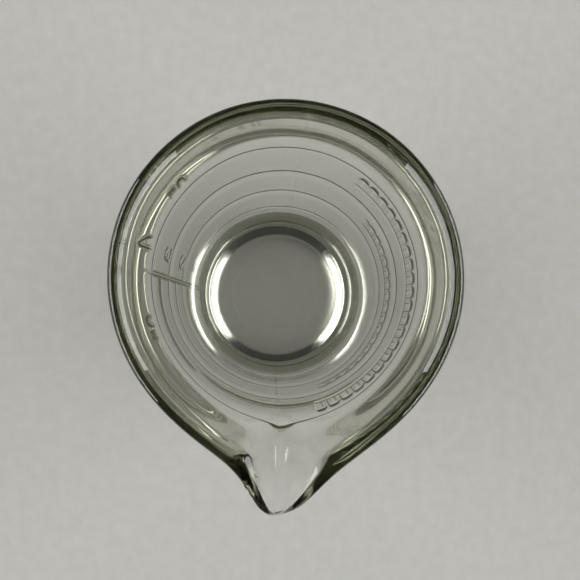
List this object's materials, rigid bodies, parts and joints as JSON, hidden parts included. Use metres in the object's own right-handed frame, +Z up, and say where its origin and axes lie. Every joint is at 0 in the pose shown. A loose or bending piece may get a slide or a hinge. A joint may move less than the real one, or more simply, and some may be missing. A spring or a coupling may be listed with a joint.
{
  "type": "measuring beaker",
  "caption": "Small pressed-glass measuring beaker with a tapered wall, a flared rim, a pouring spout, ounce rings and a numbered scale.",
  "frame": {"origin": "middle of the outline seen from above, on the surface that the beaker stands on; the axis of its round wall stands 5.2 mm behind it, towards +Y", "axes": "+Z up along the axis of the wall, -Y out over the pouring spout, +X to the right of someone who looks from the spout to the back"},
  "size_m": [0.0611, 0.0714, 0.0835],
  "materials": {
    "clear_glass": "clear pressed soda-lime glass with a faint grey-green tint, polished, slightly wavy",
    "mark_glass": "the same glass, in soft-edged moulded relief"
  },
  "bodies": {
    "root": {"glass_vessel": "clear_glass", "ounce_ring_1": "mark_glass", "ounce_ring_2": "mark_glass", "ounce_ring_3": "mark_glass", "ounce_ring_4": "mark_glass", "half_ounce_arc_1": "mark_glass", "half_ounce_arc_2": "mark_glass", "half_ounce_arc_3": "mark_glass", "half_ounce_arc_4": "mark_glass", "divider_rib": "mark_glass", "numeral_1": "mark_glass", "numeral_2": "mark_glass", "numeral_3": "mark_glass", "numeral_4": "mark_glass", "unit_mark_left": "mark_glass", "unit_mark_right": "mark_glass", "frame_band_upper": "mark_glass", "frame_band_lower": "mark_glass"}
  },
  "joints": []
}
